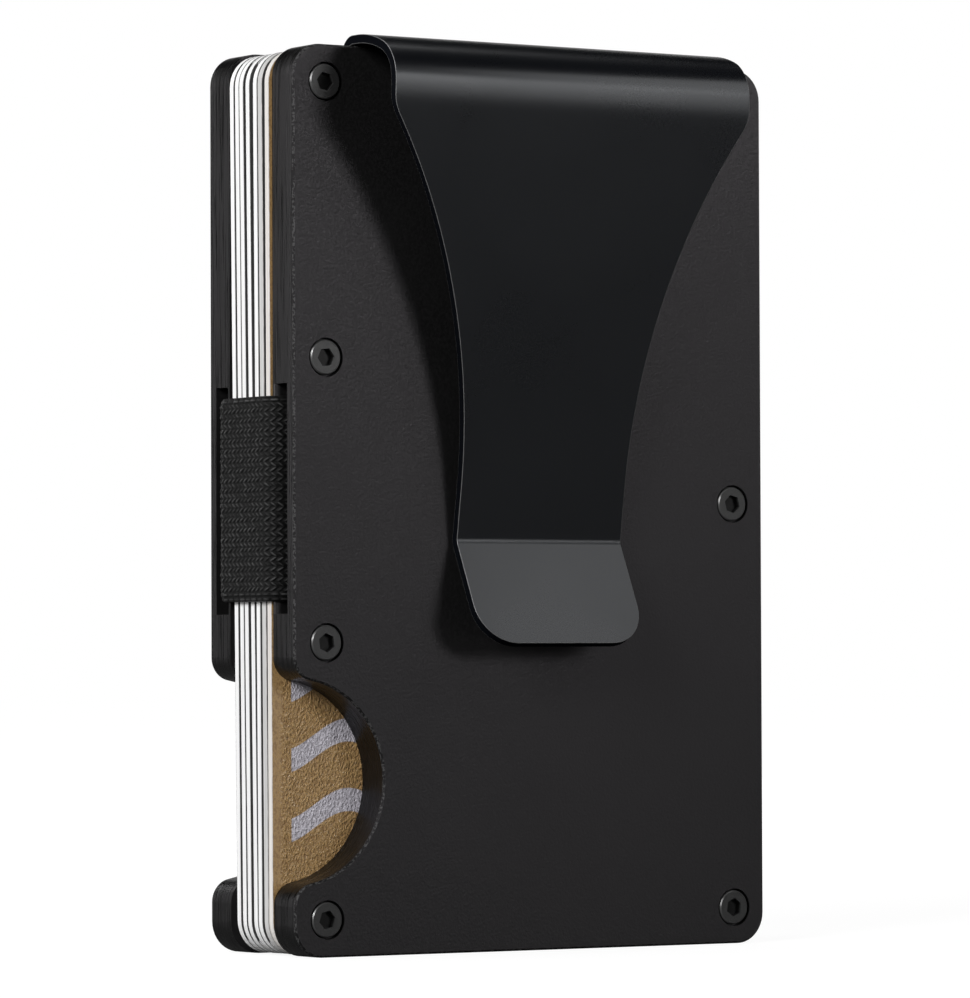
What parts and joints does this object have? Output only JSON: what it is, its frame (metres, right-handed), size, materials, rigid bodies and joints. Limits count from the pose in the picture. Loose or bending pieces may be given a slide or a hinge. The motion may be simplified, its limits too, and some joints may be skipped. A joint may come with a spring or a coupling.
{
  "type": "minimalist wallet",
  "caption": "Slim aluminium card wallet: two screwed panels on an elastic loop hold a stack of cards, with a sprung money clip on the front and a thumb notch.",
  "frame": {"origin": "bottom of the upright wallet, in the middle of its whole outline from the clip's outermost point to the back face", "axes": "+X across the wallet, +Y from the front panel (clip side) to the back panel, +Z along the wallet towards the clip's bend"},
  "size_m": [0.0562, 0.023, 0.087],
  "materials": {
    "panel_face": "bead-blasted, black anodised",
    "panel_inner": "milled, satin black anodised",
    "clip_steel": "smooth black coating on spring steel, satin",
    "screw_steel": "black oxide, satin",
    "elastic": "woven elastic, black, herringbone",
    "card_gold": "gold foil face with a leather-like grain, cream edge",
    "card_grey": "grey card",
    "card_white": "white core card with printed faces"
  },
  "bodies": {
    "back_panel": {"back_face_plate": "panel_face", "back_inner_plate": "panel_inner", "elastic_band": "elastic", "back_screw_1": "screw_steel", "back_screw_2": "screw_steel", "back_screw_3": "screw_steel", "back_screw_4": "screw_steel", "back_screw_5": "screw_steel", "back_screw_6": "screw_steel", "back_screw_7": "screw_steel"},
    "front_panel": {"front_face_plate": "panel_face", "front_inner_plate": "panel_inner", "clip_foot": "clip_steel", "front_screw_1": "screw_steel", "front_screw_2": "screw_steel", "front_screw_3": "screw_steel", "front_screw_4": "screw_steel", "front_screw_5": "screw_steel", "front_screw_6": "screw_steel", "front_screw_7": "screw_steel"},
    "clip": {"clip_tongue": "clip_steel"},
    "sliding_card_1": {"card_1": "card_gold"},
    "sliding_card_2": {"card_2": "card_grey"},
    "sliding_card_3": {"card_3": "card_white"},
    "sliding_card_4": {"card_4": "card_white"},
    "sliding_card_5": {"card_5": "card_white"},
    "sliding_card_6": {"card_6": "card_white"},
    "sliding_card_7": {"card_7": "card_white"}
  },
  "joints": [
    {"name": "front_panel_spread", "type": "slide", "parent": "back_panel", "child": "front_panel", "axis": [0, -1, 0], "range_m": [0, 0.004], "stiffness_N_per_m": 1500, "springref_m": -0.002, "deforming": ["elastic_band"]},
    {"name": "clip_flex", "type": "hinge", "parent": "front_panel", "child": "clip", "pos_m": [0, -0.00415, 0.08657], "axis": [-1, 0, 0], "range_deg": [0, 6], "stiffness_Nm_per_rad": 1.5},
    {"name": "card_1_slide", "type": "slide", "parent": "back_panel", "child": "sliding_card_1", "axis": [-0.0029, 0.0012, 1], "range_m": [0, 0.088]},
    {"name": "card_2_slide", "type": "slide", "parent": "back_panel", "child": "sliding_card_2", "axis": [-0.004, 0.0053, 1], "range_m": [0, 0.088]},
    {"name": "card_3_slide", "type": "slide", "parent": "back_panel", "child": "sliding_card_3", "axis": [-0.0028, 0.0043, 1], "range_m": [0, 0.088]},
    {"name": "card_4_slide", "type": "slide", "parent": "back_panel", "child": "sliding_card_4", "axis": [-0.0033, 0.0105, 0.9999], "range_m": [0, 0.088]},
    {"name": "card_5_slide", "type": "slide", "parent": "back_panel", "child": "sliding_card_5", "axis": [-0.0035, 0.0105, 0.9999], "range_m": [0, 0.088]},
    {"name": "card_6_slide", "type": "slide", "parent": "back_panel", "child": "sliding_card_6", "axis": [-0.0034, 0.0093, 1], "range_m": [0, 0.088]},
    {"name": "card_7_slide", "type": "slide", "parent": "back_panel", "child": "sliding_card_7", "axis": [-0.0034, 0.0082, 1], "range_m": [0, 0.088]}
  ]
}
